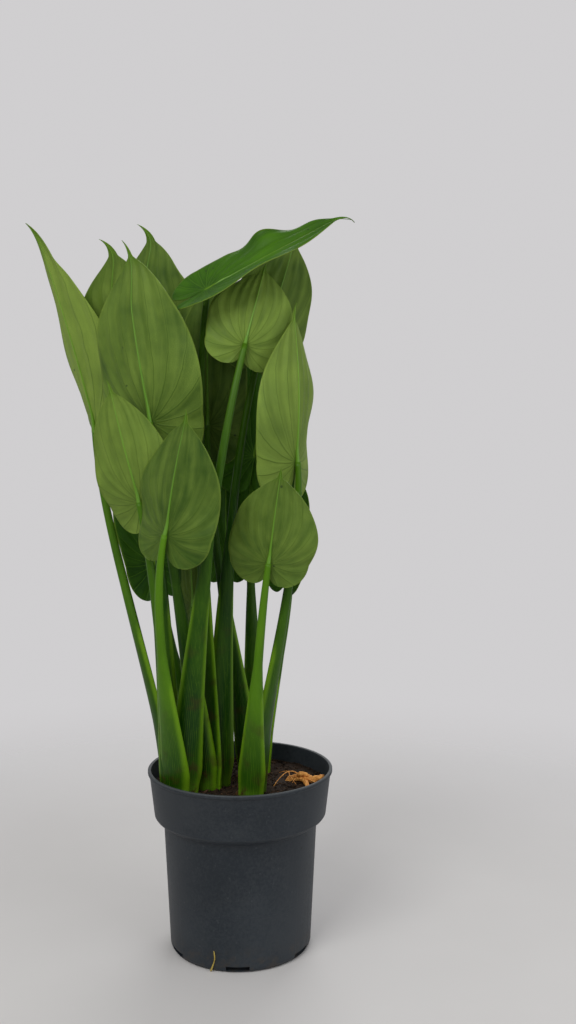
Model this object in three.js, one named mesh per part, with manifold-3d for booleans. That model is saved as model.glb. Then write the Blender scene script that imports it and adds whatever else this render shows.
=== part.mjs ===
// A potted Chinese taro: a plastic nursery pot filled with soil, and in it five shoots whose
// sheathing stalks carry broad heart-shaped leaves, held upright.
// Millimetres, +Z up. The origin is the middle of the pot's flat base, on the surface it stands on,
// and the plant is looked at from -Y, with +X to the right.

import * as THREE from "three";
import { mergeVertices } from "three/addons/utils/BufferGeometryUtils.js";
import Module from "manifold-3d";

const wasm = await Module();
wasm.setup();

const GAP = 0.3; // clearance where one piece stands in or against another

// Pot
const POT_HEIGHT = 262;
const POT_TOP_RADIUS = 135;
const POT_BASE_RADIUS = 103;
const BAND_HEIGHT = 68; // wide band under the rim
const BAND_BOTTOM_RADIUS = 125.5;
const BODY_TOP_RADIUS = 112; // straight under the band
const STEP_HEIGHT = 9; // slanted step from the band in to the body
const POT_WALL = 2;
const POT_FLOOR = 3;
const HEEL = 6; // round edge between base and body
const HEEL_CURVE = 0.3; // of the heel, where its middle point lies
const SMALL_EDGE = 2; // round edges of the band and the rim
const LIP = 4.5; // thickened edge at the top
const POT_SIDES = 40;
const DRAIN_SLOTS = 6;
const DRAIN_SLOT = { width: 33, from: 2.5, to: 9, depth: 18 };

// Soil
const SOIL_DEPTH_BELOW_RIM = 25;
const SOIL_TOP = POT_HEIGHT - SOIL_DEPTH_BELOW_RIM;
const SOIL_RIPPLE = { height: 1.6, paceX: 17, paceY: 21, start: 1 };
const SOIL_RINGS = [0.82, 0.6, 0.36]; // of the soil's radius

// Leaf blades and stalks
const BLADE_THICKNESS = 0.9;
const MIDRIB_HEIGHT = 1.6; // how far the midrib stands out of the underside at the joint
const LOBE_LENGTH = 0.25; // of the blade's length, behind the joint
const LOBE_MIDDLE = 0.36; // of the half width
const NOTCH_BEND = 1.4; // power: how soon the notch between the lobes narrows
const WIDEST = 0.26; // of the blade's length, ahead of the joint
const WIDTH_AT_JOINT = 0.9;
const BODY_REACH = 0.97; // of the blade's length, where the body would end without a drip tip
const DRIP_CUT = 0.5; // how much sooner the body ends, for each share that the drip tip is wide
const BODY_BEND = 0.9; // power: how full the margin is between the widest place and the tip
const DRIP_START = 0.72;
const TIP_DROOP = 35; // degrees that a drip tip turns to the underside, unless its leaf says more
const DROOP_START = 0.82;
const WAVE_HEIGHT = 0.03; // of the blade's width, at the margin
const WAVE_PACE = 10; // radians of wave for a blade's length
const WAVE_SHIFT = 2; // radians between one leaf and the next
const LOBE_ROWS = 3;
const BLADE_ROWS = 9;
const ROW_SHIFT = 0.09; // how far the middle rows lie nearer to the tip
const HALF_COLUMNS = 3;
const RIB_STEPS = 50;
const STALK_SIDES = 8;
const STALK_STEPS = 8;
const STALK_FOOT = 4; // above the soil
const FOOT_SPREAD = 0.4; // of the stem's radius, from its middle
const LIFT_LEAN = 0.14; // the three handles of a stalk's curve, as shares of its length
const LIFT_UP = 0.12;
const APPROACH = 0.3;
const STALK_TOP_RADIUS = 4;
const STALK_RADIUS = 7; // above the sheath
const SHEATH_THICKNESS = 17;
const SHEATH_SHARE = 0.58; // of the stalk's length
const SHEATH_HOLLOW = 1.3;
const STEM_RADIUS = 23; // the short stem that a shoot's sheaths grow from
const STEM_DEPTH = 42; // of it in the soil
const STEM_DOME = 12; // of it above the soil
const STEM_TOE = { radius: 0.8, height: 0.3 }; // of the radius and of the depth
const STEM_SHOULDER = { radius: 0.7, from: 0.5, to: 0.75 }; // of the radius and of the dome
const STEM_SIDES = 16;

const COLOURS = {
  pot: 0x2e343a,
  soil: 0x2a1a12,
  stalk: 0x5f8f2a,
  leaf: 0x3f7a1e,
  root: 0xb9783a,
};

// Where each shoot stands in the soil
const SHOOTS = {
  left: { x: -88, y: -44 },
  middle: { x: -42, y: -16 },
  right: { x: 13, y: -48 },
  back_left: { x: -62, y: 60 },
  back_right: { x: 20, y: 50 },
};

// One row for each leaf: the shoot that carries it, the joint of stalk and blade, the tip,
// the way the upper side faces, the flat width, the curl across, the bow along and the twist
// (all in degrees, a bow positive where the tip leans towards the underside), the angle between
// stalk and blade, the width of its sheath, and the width of its drip tip as a share of the
// blade's.
const LEAVES = [
  { name: "far_left", shoot: "left", joint: [-212, 36, 752], tip: [-302, -6, 1047],
    faces: [0.82, 0.58, 0.1], width: 165, curl: 75, bow: 6, twist: 0, nod: 10, sheath: 42, drip: 0.3 },
  { name: "left_low", shoot: "left", joint: [-134, -76, 655], tip: [-176, -88, 821],
    faces: [0.3, 0.95, 0], width: 116, curl: 50, bow: -12, twist: 8, nod: 10, sheath: 38, drip: 0.15 },
  { name: "left_high", shoot: "left", joint: [-150, 8, 830], tip: [-196, -20, 1022],
    faces: [0.35, 1, 0], width: 140, curl: 60, bow: -16, twist: 10, nod: 10, sheath: 38, drip: 0.2 },
  { name: "front_low", shoot: "left", joint: [-91, -136, 615], tip: [-63, -148, 780],
    faces: [0.5, 0.87, 0], width: 140, curl: 75, bow: -14, twist: 0, nod: 10, sheath: 58, drip: 0.15 },
  { name: "back_left_low", shoot: "back_left", joint: [-134, 88, 552], tip: [-172, 104, 768],
    faces: [0.3, -1, 0], width: 108, curl: 40, bow: -14, twist: 8, nod: 10, sheath: 38, drip: 0.15 },
  { name: "centre_left", shoot: "middle", joint: [-119, -64, 765], tip: [-156, -70, 1011],
    faces: [0.36, 0.93, 0], width: 166, curl: 55, bow: -18, twist: -6, nod: 10, sheath: 50, drip: 0.12 },
  { name: "middle_left", shoot: "back_left", joint: [-118, 66, 848], tip: [-154, 66, 1060],
    faces: [0.3, 1, 0], width: 148, curl: 60, bow: -16, twist: 0, nod: 10, sheath: 42, drip: 0.2 },
  { name: "middle", shoot: "back_right", joint: [-48, 36, 762], tip: [-46, 40, 990],
    faces: [0.2, 1, 0], width: 118, curl: 50, bow: -16, twist: 10, nod: 10, sheath: 42, drip: 0.15 },
  { name: "arching", shoot: "middle", joint: [-42, -52, 948], tip: [162, -44, 1040],
    faces: [-0.2, -0.52, 0.83], width: 106, curl: 50, bow: 2, twist: 0, nod: 55, sheath: 42, drip: 0.2,
    droop: 80 },
  { name: "centre_right", shoot: "left", joint: [11, -72, 870], tip: [40, -46, 986],
    faces: [-0.1, 1, 0], width: 125, curl: 50, bow: -16, twist: -8, nod: 10, sheath: 54, drip: 0.15 },
  { name: "right_high", shoot: "right", joint: [81, -48, 710], tip: [82, -60, 928],
    faces: [-0.84, 0.54, 0], width: 152, curl: 75, bow: -16, twist: 0, nod: 10, sheath: 56, drip: 0.15 },
  { name: "right_low", shoot: "right", joint: [44, -104, 574], tip: [61, -116, 703],
    faces: [0.1, 1, 0], width: 125, curl: 55, bow: -14, twist: -6, nod: 10, sheath: 46, drip: 0.15 },
  { name: "back_right_high", shoot: "middle", joint: [32, 24, 878], tip: [86, 18, 1048],
    faces: [-0.3, 0.95, 0], width: 128, curl: 60, bow: -16, twist: 0, nod: 10, sheath: 52, drip: 0.15 },
  { name: "back_right", shoot: "back_right", joint: [18, 112, 716], tip: [46, 128, 956],
    faces: [-0.2, -1, 0], width: 142, curl: 50, bow: -16, twist: 8, nod: 10, sheath: 46, drip: 0.15 },
  { name: "back_right_low", shoot: "back_right", joint: [72, 66, 548], tip: [88, 74, 706],
    faces: [-0.8, -0.7, 0], width: 98, curl: 50, bow: -14, twist: 0, nod: 10, sheath: 38, drip: 0.15 },
  { name: "back_middle", shoot: "back_left", joint: [-110, 122, 812], tip: [-130, 136, 1022],
    faces: [0.1, -1, 0], width: 146, curl: 50, bow: -16, twist: -8, nod: 10, sheath: 46, drip: 0.15 },
  { name: "back_middle_low", shoot: "back_left", joint: [-28, 130, 566], tip: [-28, 148, 760],
    faces: [0, -1, 0], width: 98, curl: 45, bow: -12, twist: 8, nod: 10, sheath: 40, drip: 0.15 },
  { name: "young", shoot: "back_left", joint: [-70, 24, 495], tip: [-76, 24, 605],
    faces: [0.2, 1, 0], width: 50, curl: 120, bow: -6, twist: 0, nod: 10, sheath: 30, drip: 0.15 },
];

// Roots that show: one with a side branch lies on the soil and reaches the rim, and a thin
// one comes out under the edge at the front and leans on the wall
const ROOT_SIDES = 8;
const ROOT_STEPS = 10;
const SURFACE_ROOTS = [
  {
    radius: 5,
    route: [[60, 14, SOIL_TOP - 12], [75, 17, SOIL_TOP - 1], [91, 9, SOIL_TOP + 5],
      [106, -3, SOIL_TOP + 6], [121, -13, SOIL_TOP + 12]],
  },
  {
    radius: 3,
    route: [[89, 10, SOIL_TOP + 5], [94, -3, SOIL_TOP + 4], [98, -18, SOIL_TOP + 3],
      [100, -34, SOIL_TOP - 6]],
  },
];
const DRAIN_ROOT = {
  radius: 1.2,
  route: [[-37.5, -97.3, 1.5], [-34.5, -99.4, 10], [-32, -100.6, 20], [-33, -100.9, 31]],
};

// Solids
function toManifold(geometry) {
  const bare = geometry.clone();
  bare.deleteAttribute("normal");
  bare.deleteAttribute("uv");
  const merged = mergeVertices(bare, 1e-4);
  return new wasm.Manifold(new wasm.Mesh({
    numProp: 3,
    vertProperties: new Float32Array(merged.attributes.position.array),
    triVerts: new Uint32Array(merged.index.array),
  }));
}

function toGeometry(solid) {
  const mesh = solid.getMesh();
  const geometry = new THREE.BufferGeometry();
  geometry.setAttribute("position", new THREE.Float32BufferAttribute(mesh.vertProperties, 3));
  geometry.setIndex(Array.from(mesh.triVerts));
  geometry.computeVertexNormals();
  return geometry;
}

// The largest body, with the hollows that joining sealed inside it filled
function outerBody(solid) {
  const bodies = solid.decompose();
  return bodies.reduce((best, body) => (body.volume() > best.volume() ? body : best));
}

function lathe(profile, sides) {
  const points = profile.map(([radius, height]) => new THREE.Vector2(radius, height));
  const geometry = new THREE.LatheGeometry(points, sides);
  geometry.rotateX(Math.PI / 2);
  return geometry;
}

// A closed body through rings of points, each ring with the same number of points
function loft(rings) {
  const count = rings[0].length;
  const positions = rings.flat().flatMap((point) => point.toArray());
  const index = [];
  for (let i = 0; i < rings.length - 1; i += 1) {
    for (let j = 0; j < count; j += 1) {
      const a = i * count + j;
      const b = i * count + ((j + 1) % count);
      index.push(a, b, b + count, a, b + count, a + count);
    }
  }
  const last = (rings.length - 1) * count;
  for (let j = 1; j < count - 1; j += 1) {
    index.push(0, j + 1, j);
    index.push(last, last + j, last + j + 1);
  }
  const geometry = new THREE.BufferGeometry();
  geometry.setAttribute("position", new THREE.Float32BufferAttribute(positions, 3));
  geometry.setIndex(index);
  return geometry;
}

// Pot
function outerRadius(height) {
  const slope = (BODY_TOP_RADIUS - POT_BASE_RADIUS) / (POT_HEIGHT - BAND_HEIGHT - STEP_HEIGHT);
  return POT_BASE_RADIUS + slope * height;
}

function potProfile() {
  const bandBottom = POT_HEIGHT - BAND_HEIGHT;
  const stepBottom = bandBottom - STEP_HEIGHT;
  return {
    outer: [
      [0, 0],
      [POT_BASE_RADIUS - HEEL, 0],
      [POT_BASE_RADIUS - HEEL * HEEL_CURVE, HEEL * HEEL_CURVE],
      [outerRadius(HEEL), HEEL],
      [BODY_TOP_RADIUS, stepBottom],
      [BAND_BOTTOM_RADIUS - SMALL_EDGE, bandBottom - SMALL_EDGE / 2],
      [BAND_BOTTOM_RADIUS, bandBottom + SMALL_EDGE],
      [POT_TOP_RADIUS - LIP + POT_WALL, POT_HEIGHT - LIP - SMALL_EDGE],
      [POT_TOP_RADIUS, POT_HEIGHT - LIP],
      [POT_TOP_RADIUS, POT_HEIGHT - SMALL_EDGE / 2],
      [POT_TOP_RADIUS - SMALL_EDGE / 2, POT_HEIGHT],
    ],
    inner: [
      [POT_TOP_RADIUS - LIP, POT_HEIGHT],
      [BAND_BOTTOM_RADIUS - POT_WALL, bandBottom + SMALL_EDGE / 2],
      [BODY_TOP_RADIUS - POT_WALL, stepBottom + SMALL_EDGE / 2],
      [outerRadius(HEEL) - POT_WALL, HEEL],
      [POT_BASE_RADIUS - HEEL, POT_FLOOR],
      [0, POT_FLOOR],
    ],
  };
}

function makePot() {
  const profile = potProfile();
  let solid = toManifold(lathe([...profile.outer, ...profile.inner], POT_SIDES));
  for (let i = 0; i < DRAIN_SLOTS; i += 1) {
    const { width, from, to, depth } = DRAIN_SLOT;
    const slot = new THREE.BoxGeometry(width, depth, to - from);
    slot.translate(0, -POT_BASE_RADIUS, (from + to) / 2);
    slot.rotateZ((i * 2 * Math.PI) / DRAIN_SLOTS);
    solid = solid.subtract(toManifold(slot));
  }
  return toGeometry(solid);
}

// Soil
function soilHeight(x, y) {
  const { height, paceX, paceY, start } = SOIL_RIPPLE;
  return SOIL_TOP + height * Math.sin(x / paceX + start) * Math.cos(y / paceY);
}

function makeSoil(holes) {
  const { inner } = potProfile();
  const wall = inner.slice(1, -1).reverse();
  const profile = [[0, POT_FLOOR + GAP]];
  wall.forEach(([radius, height]) => profile.push([radius - GAP, height + GAP]));
  const rise = (SOIL_TOP - inner[1][1]) / (POT_HEIGHT - inner[1][1]);
  const edge = inner[1][0] + (inner[0][0] - inner[1][0]) * rise - GAP;
  profile.push([edge, SOIL_TOP]);
  SOIL_RINGS.forEach((share) => profile.push([edge * share, SOIL_TOP]));
  profile.push([0, SOIL_TOP]);
  const geometry = lathe(profile, POT_SIDES);
  const position = geometry.attributes.position;
  for (let i = 0; i < position.count; i += 1) {
    const x = position.getX(i);
    const y = position.getY(i);
    if (position.getZ(i) > SOIL_TOP - 1 && Math.hypot(x, y) < edge - 1) {
      position.setZ(i, soilHeight(x, y));
    }
  }
  let solid = toManifold(geometry);
  holes.forEach((hole) => {
    solid = solid.subtract(hole);
  });
  return toGeometry(solid);
}

// Leaf blades. A blade is laid out flat, with y along the midrib from the joint to the tip and
// x across, and is then curled across, bowed along and set in its place.
function marginAt(share, drip) {
  if (share < WIDEST) {
    const back = (WIDEST - share) / WIDEST;
    return 1 - (1 - WIDTH_AT_JOINT) * back * back;
  }
  const bodyEnd = BODY_REACH - DRIP_CUT * drip;
  const along = Math.min(1, (share - WIDEST) / (bodyEnd - WIDEST));
  const body = (1 - along ** 2) ** BODY_BEND;
  const tail = drip * Math.min(1, (1 - share) / (1 - DRIP_START));
  return Math.hypot(body, tail * along);
}

// Rows from the ends of the lobes to the tip: distance along the midrib, and the inner and
// outer edge of each half, all as shares of the length and of the half width
function bladeRows(drip) {
  const rows = [];
  for (let i = 0; i < LOBE_ROWS; i += 1) {
    const turn = (i / LOBE_ROWS) * (Math.PI / 2);
    const full = Math.sin(turn);
    rows.push({
      along: -LOBE_LENGTH * Math.cos(turn),
      inner: LOBE_MIDDLE * (1 - full) ** NOTCH_BEND,
      outer: LOBE_MIDDLE + (WIDTH_AT_JOINT - LOBE_MIDDLE) * full,
    });
  }
  for (let i = 0; i <= BLADE_ROWS; i += 1) {
    const share = i / BLADE_ROWS;
    const along = share + ROW_SHIFT * Math.sin(share * Math.PI);
    rows.push({ along, inner: 0, outer: marginAt(along, drip) });
  }
  rows[0].outer = rows[0].inner;
  rows[rows.length - 1].outer = 0;
  return rows;
}

// The midrib seen from the side, in steps of one unit: x ahead, y towards the upper side
function ribLine(leaf) {
  const bow = THREE.MathUtils.degToRad(leaf.bow);
  const droop = THREE.MathUtils.degToRad(leaf.droop ?? TIP_DROOP);
  const turnAt = (share) => {
    const tail = Math.max(0, (share - DROOP_START) / (1 - DROOP_START));
    return bow * Math.max(0, share) + droop * tail * tail;
  };
  const line = [new THREE.Vector2()];
  for (let i = 0; i < RIB_STEPS; i += 1) {
    const turn = turnAt((i + 0.5) / RIB_STEPS);
    line.push(new THREE.Vector2(Math.cos(turn), -Math.sin(turn)).add(line[i]));
  }
  const end = line[RIB_STEPS];
  return { line, turnAt, reach: end.length(), tilt: Math.atan2(end.y, end.x) };
}

// The midrib in its place: the point at a share of its length, the way it runs there, the
// normal of the upper side and the way across
function midrib(leaf) {
  const joint = new THREE.Vector3(...leaf.joint);
  const chord = new THREE.Vector3(...leaf.tip).sub(joint);
  const ahead = chord.clone().normalize();
  const up = new THREE.Vector3(...leaf.faces);
  up.addScaledVector(ahead, -up.dot(ahead)).normalize();
  const across = new THREE.Vector3().crossVectors(ahead, up);
  const { line, turnAt, reach, tilt } = ribLine(leaf);
  const unit = chord.length() / reach;
  return (share) => {
    const turn = turnAt(share) + tilt;
    const run = ahead.clone().multiplyScalar(Math.cos(turn)).addScaledVector(up, -Math.sin(turn));
    const flat = up.clone().multiplyScalar(Math.cos(turn)).addScaledVector(ahead, Math.sin(turn));
    const point = joint.clone();
    if (share <= 0) {
      point.addScaledVector(run, share * RIB_STEPS * unit);
    } else {
      const step = Math.min(RIB_STEPS - 1, Math.floor(share * RIB_STEPS));
      const spot = line[step].clone().lerp(line[step + 1], share * RIB_STEPS - step);
      spot.rotateAround(new THREE.Vector2(), -tilt).multiplyScalar(unit);
      point.addScaledVector(ahead, spot.x).addScaledVector(up, spot.y);
    }
    const twist = THREE.MathUtils.degToRad(leaf.twist) * Math.max(0, share);
    const normal = flat.clone().applyAxisAngle(run, twist);
    const side = across.clone().applyAxisAngle(run, twist);
    return { point, run, normal, side };
  };
}

function makeBlade(leaf, number) {
  const ribAt = midrib(leaf);
  const rows = bladeRows(leaf.drip);
  const halfWidth = leaf.width / 2;
  const curlRadius = leaf.width / THREE.MathUtils.degToRad(leaf.curl);
  const waveHeight = leaf.width * WAVE_HEIGHT;
  const top = [];
  const under = [];
  const place = (row, share, hand) => {
    const { point, normal, side } = ribAt(row.along);
    const across = hand * halfWidth * (row.inner + (row.outer - row.inner) * share);
    const turn = across / curlRadius;
    const out = normal.clone().multiplyScalar(Math.cos(turn));
    out.addScaledVector(side, -Math.sin(turn));
    const phase = row.along * WAVE_PACE + number * WAVE_SHIFT + hand;
    const wave = waveHeight * share ** 2 * row.outer * Math.sin(phase);
    const spot = point.clone();
    spot.addScaledVector(side, curlRadius * Math.sin(turn));
    spot.addScaledVector(normal, curlRadius * (1 - Math.cos(turn)));
    spot.addScaledVector(out, wave);
    const onRib = share === 0 && row.along >= 0;
    const keel = onRib ? MIDRIB_HEIGHT * (1 - row.along) : 0;
    top.push(spot.clone().addScaledVector(out, BLADE_THICKNESS / 2));
    under.push(spot.clone().addScaledVector(out, -BLADE_THICKNESS / 2 - keel));
    return top.length - 1;
  };
  const last = rows.length - 1;
  const tip = place(rows[last], 0, 1);
  const ribSpots = rows.map((row, i) => (
    row.along >= 0 && i < last ? place(row, 0, 1) : -1
  ));
  const index = [];
  const edges = [];
  const faces = [];
  [1, -1].forEach((hand) => {
    const grid = rows.map((row, i) => {
      if (i === last) return new Array(HALF_COLUMNS + 1).fill(tip);
      if (i === 0) return new Array(HALF_COLUMNS + 1).fill(place(row, 0, hand));
      const line = [];
      for (let k = 0; k <= HALF_COLUMNS; k += 1) {
        const shared = k === 0 && ribSpots[i] >= 0;
        line.push(shared ? ribSpots[i] : place(row, k / HALF_COLUMNS, hand));
      }
      return line;
    });
    const addFace = (a, b, c) => {
      if (a === b || b === c || a === c) return;
      faces.push(hand > 0 ? [a, b, c] : [a, c, b]);
    };
    const addEdge = (a, b) => {
      if (a !== b) edges.push(hand > 0 ? [a, b] : [b, a]);
    };
    for (let i = 0; i < last; i += 1) {
      for (let k = 0; k < HALF_COLUMNS; k += 1) {
        addFace(grid[i][k], grid[i][k + 1], grid[i + 1][k + 1]);
        addFace(grid[i][k], grid[i + 1][k + 1], grid[i + 1][k]);
      }
      addEdge(grid[i][HALF_COLUMNS], grid[i + 1][HALF_COLUMNS]);
      if (rows[i].along < 0) addEdge(grid[i + 1][0], grid[i][0]);
    }
  });
  const count = top.length;
  faces.forEach(([a, b, c]) => {
    index.push(a, b, c);
    index.push(a + count, c + count, b + count);
  });
  edges.forEach(([a, b]) => {
    index.push(a, a + count, b + count);
    index.push(a, b + count, b);
  });
  const geometry = new THREE.BufferGeometry();
  const positions = [...top, ...under].flatMap((spot) => spot.toArray());
  geometry.setAttribute("position", new THREE.Float32BufferAttribute(positions, 3));
  geometry.setIndex(index);
  return geometry;
}

// Stalks. A stalk starts in the shoot's short stem as a broad hollow-faced sheath, narrows to
// a round stalk and ends just under the midrib at the joint.
function stalkRoute(leaf) {
  const { point: joint, run, normal } = midrib(leaf)(0);
  const nod = THREE.MathUtils.degToRad(leaf.nod);
  const end = run.clone().multiplyScalar(Math.cos(nod)).addScaledVector(normal, Math.sin(nod));
  const clear = BLADE_THICKNESS / 2 + MIDRIB_HEIGHT + GAP + STALK_TOP_RADIUS * Math.cos(nod);
  const top = joint.clone().addScaledVector(normal, -clear);
  const shoot = SHOOTS[leaf.shoot];
  const away = new THREE.Vector3(joint.x - shoot.x, joint.y - shoot.y, 0).normalize();
  const foot = new THREE.Vector3(shoot.x, shoot.y, SOIL_TOP + STALK_FOOT);
  foot.addScaledVector(away, STEM_RADIUS * FOOT_SPREAD);
  const rise = top.clone().sub(foot);
  const lift = foot.clone().addScaledVector(rise, LIFT_LEAN);
  lift.z += rise.length() * LIFT_UP;
  const approach = top.clone().addScaledVector(end, -rise.length() * APPROACH);
  return { route: new THREE.CubicBezierCurve3(foot, lift, approach, top), back: normal.negate() };
}

function makeStalk(leaf) {
  const { route, back } = stalkRoute(leaf);
  const rings = [];
  for (let i = 0; i <= STALK_STEPS; i += 1) {
    const share = i / STALK_STEPS;
    const point = route.getPoint(share);
    const run = route.getTangent(share);
    const outside = back.clone().addScaledVector(run, -back.dot(run)).normalize();
    const side = new THREE.Vector3().crossVectors(run, outside);
    const sheath = Math.max(0, 1 - share / SHEATH_SHARE);
    const slim = STALK_RADIUS + (STALK_TOP_RADIUS - STALK_RADIUS) * share ** 3;
    const half = slim + (leaf.sheath / 2 - slim) * sheath;
    const depth = slim + (SHEATH_THICKNESS / 2 - slim) * sheath;
    const ring = [];
    for (let j = 0; j < STALK_SIDES; j += 1) {
      const turn = (j / STALK_SIDES) * Math.PI * 2;
      const outward = Math.cos(turn);
      const flat = outward > 0 ? 1 : 1 - SHEATH_HOLLOW * sheath;
      const spot = point.clone();
      spot.addScaledVector(outside, depth * outward * flat);
      spot.addScaledVector(side, half * Math.sin(turn));
      ring.push(spot);
    }
    rings.push(ring);
  }
  return loft(rings);
}

function stemProfile(clearance) {
  const radius = STEM_RADIUS + clearance;
  const bottom = SOIL_TOP - STEM_DEPTH - clearance;
  return [
    [0, bottom],
    [radius * STEM_TOE.radius, bottom],
    [radius, bottom + STEM_DEPTH * STEM_TOE.height],
    [radius, SOIL_TOP + STEM_DOME * STEM_SHOULDER.from],
    [radius * STEM_SHOULDER.radius, SOIL_TOP + STEM_DOME * STEM_SHOULDER.to],
    [0, SOIL_TOP + STEM_DOME],
  ];
}

function stemAt(shoot, clearance) {
  const stem = lathe(stemProfile(clearance), STEM_SIDES);
  stem.translate(shoot.x, shoot.y, 0);
  return toManifold(stem);
}

function makeShoot(name) {
  let solid = stemAt(SHOOTS[name], 0);
  LEAVES.filter((leaf) => leaf.shoot === name).forEach((leaf) => {
    solid = solid.add(toManifold(makeStalk(leaf)));
  });
  return toGeometry(outerBody(solid));
}

// Roots
function makeRoot({ radius, route }, clearance) {
  const path = new THREE.CatmullRomCurve3(route.map((point) => new THREE.Vector3(...point)));
  const section = new THREE.Shape();
  section.absarc(0, 0, radius + clearance, 0, Math.PI * 2);
  return toManifold(new THREE.ExtrudeGeometry(section, {
    steps: ROOT_STEPS,
    curveSegments: ROOT_SIDES / 2,
    extrudePath: path,
  }));
}

function makeSurfaceRoots(clearance) {
  const [main, branch] = SURFACE_ROOTS.map((root) => makeRoot(root, clearance));
  return main.add(branch);
}

// Assembly
const plant = new THREE.Group();

function addPiece(name, geometry, colour, roughness) {
  const material = new THREE.MeshStandardMaterial({ color: colour, roughness, metalness: 0 });
  const mesh = new THREE.Mesh(geometry, material);
  mesh.name = name;
  plant.add(mesh);
}

addPiece("pot", makePot(), COLOURS.pot, 0.6);
const holes = Object.values(SHOOTS).map((shoot) => stemAt(shoot, GAP));
holes.push(makeSurfaceRoots(GAP));
addPiece("soil", makeSoil(holes), COLOURS.soil, 0.95);
Object.keys(SHOOTS).forEach((name) => {
  addPiece(`shoot_${name}`, makeShoot(name), COLOURS.stalk, 0.5);
});
LEAVES.forEach((leaf, i) => {
  addPiece(`leaf_${leaf.name}`, makeBlade(leaf, i), COLOURS.leaf, 0.45);
});
addPiece("surface_root", toGeometry(makeSurfaceRoots(0)), COLOURS.root, 0.8);
addPiece("drain_root", toGeometry(makeRoot(DRAIN_ROOT, 0)), COLOURS.root, 0.8);

export default plant;
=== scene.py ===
"""A potted Chinese taro: broad heart-shaped leaves on sheathing stalks, in a nursery pot of soil.

Metres, +Z up. The origin is the middle of the pot's base, and the photograph looks along +Y.
"""

import math
import random

import bmesh
import bpy
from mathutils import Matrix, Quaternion, Vector, noise


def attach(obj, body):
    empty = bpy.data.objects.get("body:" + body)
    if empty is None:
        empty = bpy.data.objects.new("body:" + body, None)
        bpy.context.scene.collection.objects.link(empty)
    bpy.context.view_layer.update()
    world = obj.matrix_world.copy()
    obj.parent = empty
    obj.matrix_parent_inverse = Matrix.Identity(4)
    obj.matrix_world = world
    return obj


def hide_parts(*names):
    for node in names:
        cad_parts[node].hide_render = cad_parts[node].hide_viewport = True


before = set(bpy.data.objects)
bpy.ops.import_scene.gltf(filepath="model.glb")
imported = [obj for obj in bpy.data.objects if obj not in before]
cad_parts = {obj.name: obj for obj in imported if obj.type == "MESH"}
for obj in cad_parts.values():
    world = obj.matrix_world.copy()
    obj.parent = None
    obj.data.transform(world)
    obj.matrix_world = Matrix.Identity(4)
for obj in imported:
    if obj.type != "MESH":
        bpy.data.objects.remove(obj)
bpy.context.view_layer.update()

MM = 0.001

# Corners nearer than this, in metres, are one. Shares over the others count as the end
SAME_PLACE = 1e-6
NEAR_END = 0.999999
LAST_SHARE = 0.9999

# Pot, in millimetres and degrees
POT_HEIGHT = 262
POT_TOP_RADIUS = 135
POT_BASE_RADIUS = 103
BAND_HEIGHT = 68
BAND_BOTTOM_RADIUS = 125.5
BODY_TOP_RADIUS = 112
STEP_HEIGHT = 9
POT_WALL = 2
POT_FLOOR = 3
HEEL = 6
LIP = 4.5
POT_SIDES = 144
BASE_LIFT = 0.6
BASE_RING = (30, 24)
SOFT_EDGE = {"width": 0.7, "steps": 3, "from_angle": 20}
SHARP_ANGLE = 35
DRAIN_SLOTS = 6
POT_SEAM = 80
DRAIN_SLOT = {"width": 33, "from": 2.5, "to": 9, "depth": 18}

# Soil, in millimetres
SOIL_TOP = POT_HEIGHT - 25
SOIL_EDGE_RADIUS = 129
SOIL_SIDES = 160
SOIL_RINGS = 56
SOIL_RIPPLE = {"height": 1.6, "pace_x": 17, "pace_y": 21, "start": 1}

# Lumps in the soil's surface: height in millimetres, number in a metre, and level of the noise
SOIL_LUMPS = [(2.2, 45, 0), (1.2, 140, 3)]

# Loose bits on the soil: how many, least and largest size, and form
CRUMBS = (1500, (0.8, 3.4), (1, 0.8, 0.7))
BARK_CHIPS = (150, (2, 5.5), (1.5, 0.7, 0.3))
LOOSE_INSET = 3
LOOSE_LIFT = 0.2
LOOSE_ROUGH = 0.5
LOOSE_PACE = 1.3
LOOSE_TURN = 6.28
LOOSE_SEEDS = 100

# Leaf blades: shares of their length or half width, but millimetres for thickness and hooks, and
# degrees for the droop. A plural name holds the leaves that differ from the rest
BLADE_THICKNESS = 0.9
LOBE_LENGTH = 0.25
LOBE_LENGTHS = {"arching": 0.21}
LOBE_MIDDLE = 0.36
NOTCH_BEND = 1.4
NOTCH_BENDS = {"middle": 2.4, "back_right": 2.4}
WIDEST = 0.26
WIDTH_AT_JOINT = 0.9
BODY_REACH = 0.97
DRIP_CUT = 0.5
BODY_BEND = 0.9
DRIP_START = 0.72
TIP_DROOP = 35
TIP_DROOPS = {"arching": 80}
DROOP_START = 0.82
TIP_HOOKS = {"left_high": 13, "middle_left": 15, "centre_left": 7, "back_middle_low": 12}
HOOK_START = 0.6
WAVE_HEIGHT = 0.03
WAVE_PACE = 10
WAVE_SHIFT = 2
STRONG_WAVES = {("arching", -1): {"height": 0.1, "pace": 17.5, "from": 0.2, "rise": 0.2}}
ROW_SHIFT = 0.09
RIB_STEPS = 50
BLADE_ROWS = 75
LOBE_ROWS = 15
HALF_COLUMNS = 18
COLUMN_CROWD = 1.25
VEIN_SPACING = math.pi / 9
QUILT = 0.12
QUILT_FADE = 6
CREASE = 0.5

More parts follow.
